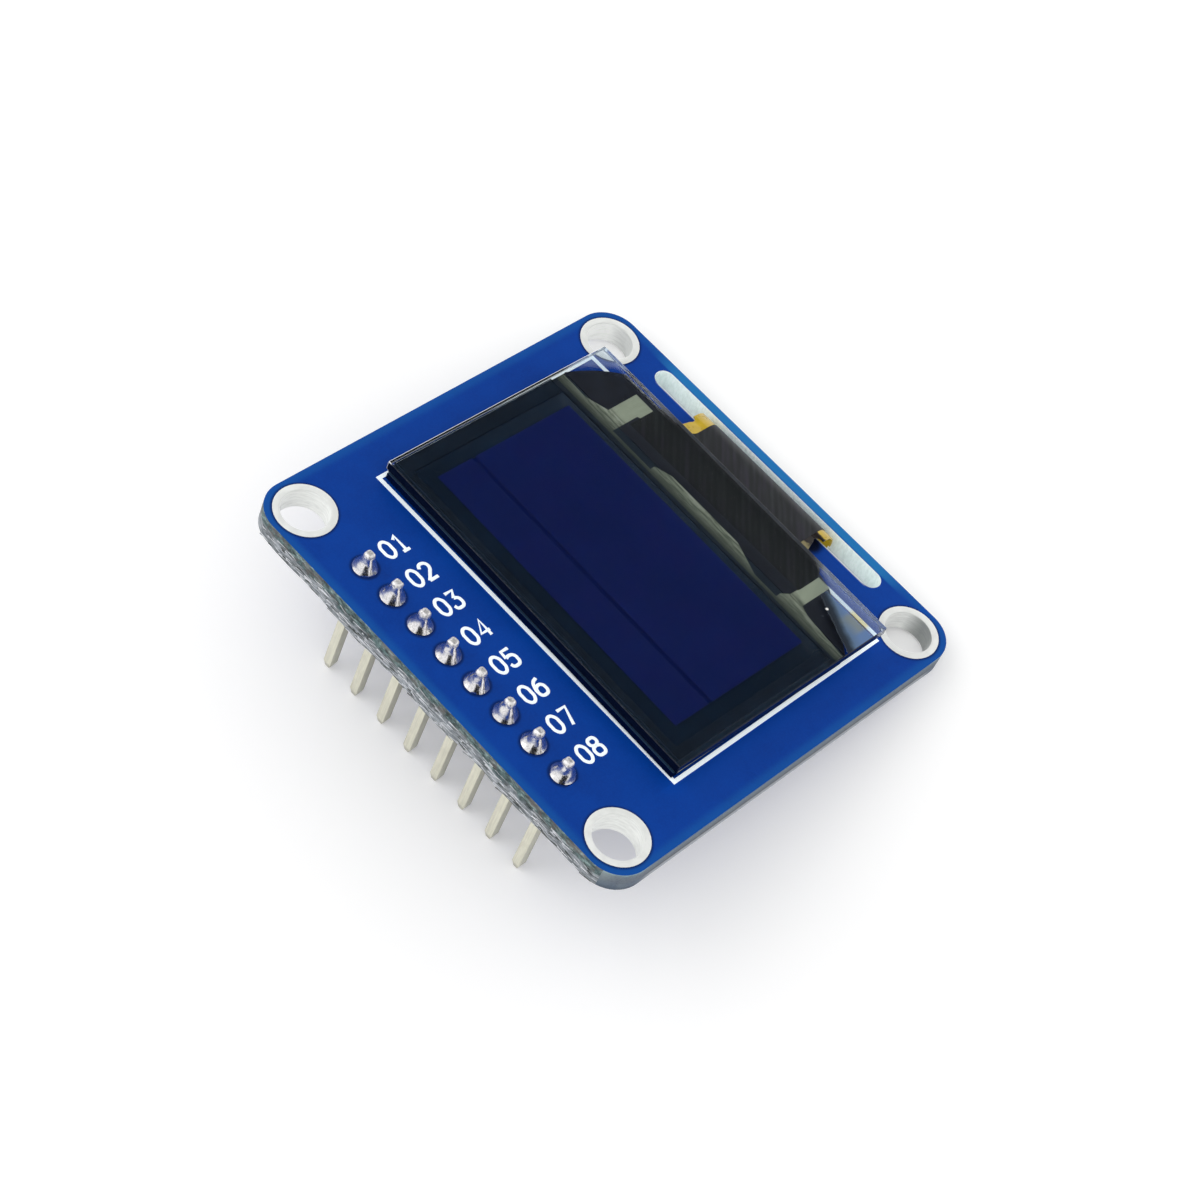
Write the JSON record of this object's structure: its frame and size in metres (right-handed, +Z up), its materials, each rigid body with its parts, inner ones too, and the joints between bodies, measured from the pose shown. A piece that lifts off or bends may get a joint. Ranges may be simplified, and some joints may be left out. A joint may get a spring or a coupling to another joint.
{
  "type": "small OLED display module",
  "caption": "Square blue circuit board with a bare glass display panel, a flat cable folded through a slot, plated corner holes and a straight row of header pins.",
  "frame": {"origin": "centre of the four mounting holes, on the board's underside", "axes": "+X along the header row from pin 1 to pin 8, +Y from the header towards the cable slot, +Z up through the board and out of the display glass"},
  "size_m": [0.0332, 0.0324, 0.0119],
  "materials": {
    "blue_board": "blue solder mask on fibreglass, satin gloss",
    "white_print": "thin white printed ink",
    "black_nylon": "moulded black plastic",
    "grey_tape": "double-sided foam tape",
    "cap_glass": "smoked by the desiccant behind it",
    "seal_glue": "cured seal glue",
    "pixel_layer": "dark navy unlit pixels",
    "trace_film": "grey-green metal traces on glass",
    "silicon": "polished silicon",
    "black_coating": "matt black protective coating",
    "front_glass": "clear, sharp cut edges",
    "polarizer": "smooth dark polarizing film",
    "amber_film": "amber polyimide, satin",
    "black_cover": "black cover layer over fine copper lines",
    "solder": "bright solder",
    "black_epoxy": "moulded black epoxy",
    "pin_metal": "pale gold flash, satin",
    "plated_rings": "white-silver tinned copper",
    "tan_ceramic": "fired tan ceramic",
    "black_ceramic": "black glazed resistor face"
  },
  "bodies": {
    "root": {"circuit_board": "blue_board", "hole_plating_1": "plated_rings", "hole_plating_2": "plated_rings", "hole_plating_3": "plated_rings", "hole_plating_4": "plated_rings", "printed_outline": "white_print", "header_body": "black_nylon", "header_pin_1": "pin_metal", "header_pin_2": "pin_metal", "header_pin_3": "pin_metal", "header_pin_4": "pin_metal", "header_pin_5": "pin_metal", "header_pin_6": "pin_metal", "header_pin_7": "pin_metal", "header_pin_8": "pin_metal", "solder_joint_1": "solder", "solder_joint_2": "solder", "solder_joint_3": "solder", "solder_joint_4": "solder", "solder_joint_5": "solder", "solder_joint_6": "solder", "solder_joint_7": "solder", "solder_joint_8": "solder", "panel_tape": "grey_tape", "cap_glass": "cap_glass", "panel_seal": "seal_glue", "pixel_layer": "pixel_layer", "front_glass": "front_glass", "trace_film": "trace_film", "polarizer": "polarizer", "driver_chip": "silicon", "ledge_coating": "black_coating", "flex_cable": "amber_film", "flex_cover": "black_cover", "contact_solder": "solder", "regulator": "black_epoxy", "capacitor_1": "tan_ceramic", "capacitor_2": "tan_ceramic", "capacitor_3": "tan_ceramic", "capacitor_4": "tan_ceramic", "capacitor_5": "tan_ceramic", "resistor_1": "black_ceramic", "resistor_2": "black_ceramic", "resistor_3": "black_ceramic", "resistor_4": "black_ceramic", "resistor_5": "black_ceramic", "resistor_6": "black_ceramic"}
  },
  "joints": []
}
